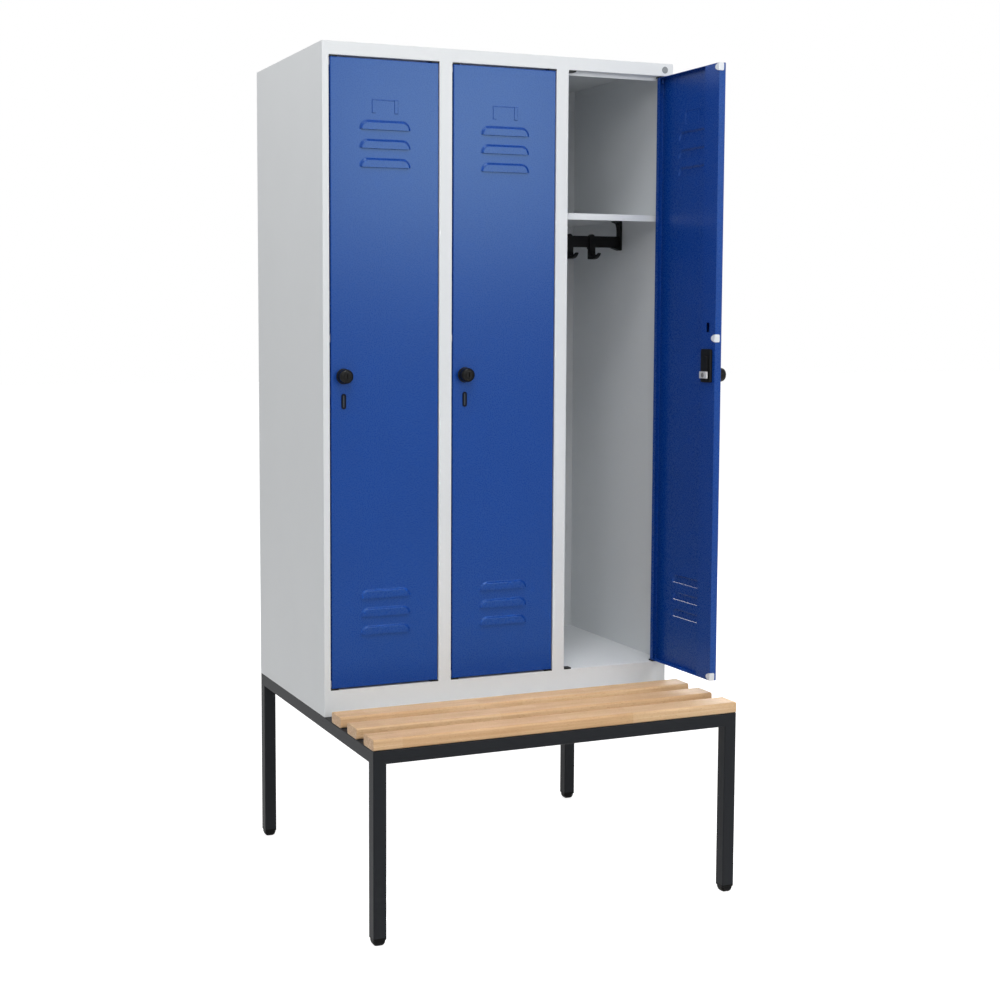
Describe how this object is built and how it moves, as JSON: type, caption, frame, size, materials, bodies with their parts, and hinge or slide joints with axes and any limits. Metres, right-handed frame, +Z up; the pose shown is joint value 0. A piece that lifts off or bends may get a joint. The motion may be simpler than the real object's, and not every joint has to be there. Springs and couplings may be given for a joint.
{
  "type": "locker with bench",
  "caption": "Steel clothes locker with tall louvred doors, hat shelves and coat hooks, standing on a square-tube frame that reaches forward as a beech slat bench.",
  "frame": {"origin": "on the floor, in the middle of the width and of the whole depth from the bench's front to the cabinet's back", "axes": "+X to the right of someone facing the doors, +Y to the back, +Z up"},
  "size_m": [0.9126, 0.815, 1.95],
  "materials": {
    "body_grey": "light grey fine-texture powder coat on sheet steel",
    "door_blue": "gentian blue powder coat on sheet steel",
    "frame_black": "black-grey powder coat on square steel tube",
    "beech": "clear-lacquered beech slats",
    "black_plastic": "black moulded plastic",
    "white_plastic": "white moulded plastic",
    "bright_steel": "zinc-plated steel"
  },
  "bodies": {
    "carcass": {"left_side_panel": "body_grey", "right_side_panel": "body_grey", "left_partition": "body_grey", "right_partition": "body_grey", "top_panel": "body_grey", "floor_panel": "body_grey", "back_panel": "body_grey", "top_rail": "body_grey", "bottom_rail": "body_grey", "hat_shelf_1": "body_grey", "hat_shelf_2": "body_grey", "hat_shelf_3": "body_grey", "coat_rail_1": "black_plastic", "coat_rail_2": "black_plastic", "coat_rail_3": "black_plastic", "rail_brackets": "black_plastic", "hinge_bushes": "black_plastic", "hinge_pins": "bright_steel", "leg_front_left": "frame_black", "leg_front_right": "frame_black", "leg_rear_left": "frame_black", "leg_rear_right": "frame_black", "frame_rail_left": "frame_black", "frame_rail_right": "frame_black", "frame_rail_front": "frame_black", "frame_rail_middle": "frame_black", "frame_rail_rear": "frame_black", "foot_caps": "black_plastic", "slat_front": "beech", "slat_middle": "beech", "slat_rear": "beech", "slat_screws": "bright_steel", "cabinet_bolts": "bright_steel"},
    "door_1": {"door_skin_1": "door_blue", "door_stiffener_1": "door_blue", "door_bumpers_1": "white_plastic", "lock_housing_1": "black_plastic"},
    "lock_1": {"lock_knob_1": "black_plastic", "lock_cam_1": "bright_steel"},
    "hook_1_left": {"hook_1_left": "black_plastic"},
    "hook_1_middle": {"hook_1_middle": "black_plastic"},
    "hook_1_right": {"hook_1_right": "black_plastic"},
    "door_2": {"door_skin_2": "door_blue", "door_stiffener_2": "door_blue", "door_bumpers_2": "white_plastic", "lock_housing_2": "black_plastic"},
    "lock_2": {"lock_knob_2": "black_plastic", "lock_cam_2": "bright_steel"},
    "hook_2_left": {"hook_2_left": "black_plastic"},
    "hook_2_middle": {"hook_2_middle": "black_plastic"},
    "hook_2_right": {"hook_2_right": "black_plastic"},
    "door_3": {"door_skin_3": "door_blue", "door_stiffener_3": "door_blue", "door_bumpers_3": "white_plastic", "lock_housing_3": "black_plastic"},
    "lock_3": {"lock_knob_3": "black_plastic", "lock_cam_3": "bright_steel"},
    "hook_3_left": {"hook_3_left": "black_plastic"},
    "hook_3_middle": {"hook_3_middle": "black_plastic"},
    "hook_3_right": {"hook_3_right": "black_plastic"}
  },
  "joints": [
    {"name": "door_1_hinge", "type": "hinge", "parent": "carcass", "child": "door_1", "pos_m": [-0.1745, -0.0865, 1.205], "axis": [0, 0, 1], "range_deg": [0, 105]},
    {"name": "lock_1_turn", "type": "hinge", "parent": "door_1", "child": "lock_1", "pos_m": [-0.401, -0.0865, 1.205], "axis": [0, -1, 0], "range_deg": [0, 90]},
    {"name": "hook_1_left_slide", "type": "slide", "parent": "carcass", "child": "hook_1_left", "axis": [1, 0, 0], "range_m": [-0.02, 0.02]},
    {"name": "hook_1_middle_slide", "type": "slide", "parent": "carcass", "child": "hook_1_middle", "axis": [1, 0, 0], "range_m": [-0.02, 0.02]},
    {"name": "hook_1_right_slide", "type": "slide", "parent": "carcass", "child": "hook_1_right", "axis": [1, 0, 0], "range_m": [-0.02, 0.02]},
    {"name": "door_2_hinge", "type": "hinge", "parent": "carcass", "child": "door_2", "pos_m": [0.1255, -0.0865, 1.205], "axis": [0, 0, 1], "range_deg": [0, 105]},
    {"name": "lock_2_turn", "type": "hinge", "parent": "door_2", "child": "lock_2", "pos_m": [-0.101, -0.0865, 1.205], "axis": [0, -1, 0], "range_deg": [0, 90]},
    {"name": "hook_2_left_slide", "type": "slide", "parent": "carcass", "child": "hook_2_left", "axis": [1, 0, 0], "range_m": [-0.02, 0.02]},
    {"name": "hook_2_middle_slide", "type": "slide", "parent": "carcass", "child": "hook_2_middle", "axis": [1, 0, 0], "range_m": [-0.02, 0.02]},
    {"name": "hook_2_right_slide", "type": "slide", "parent": "carcass", "child": "hook_2_right", "axis": [1, 0, 0], "range_m": [-0.02, 0.02]},
    {"name": "door_3_hinge", "type": "hinge", "parent": "carcass", "child": "door_3", "pos_m": [0.4255, -0.0865, 1.205], "axis": [0, 0, 1], "range_deg": [-91, 14]},
    {"name": "lock_3_turn", "type": "hinge", "parent": "door_3", "child": "lock_3", "pos_m": [0.42945, -0.31297, 1.205], "axis": [0.9998, 0.0175, 0], "range_deg": [0, 90]},
    {"name": "hook_3_left_slide", "type": "slide", "parent": "carcass", "child": "hook_3_left", "axis": [1, 0, 0], "range_m": [-0.02, 0.02]},
    {"name": "hook_3_middle_slide", "type": "slide", "parent": "carcass", "child": "hook_3_middle", "axis": [1, 0, 0], "range_m": [-0.02, 0.02]},
    {"name": "hook_3_right_slide", "type": "slide", "parent": "carcass", "child": "hook_3_right", "axis": [1, 0, 0], "range_m": [-0.02, 0.02]}
  ]
}
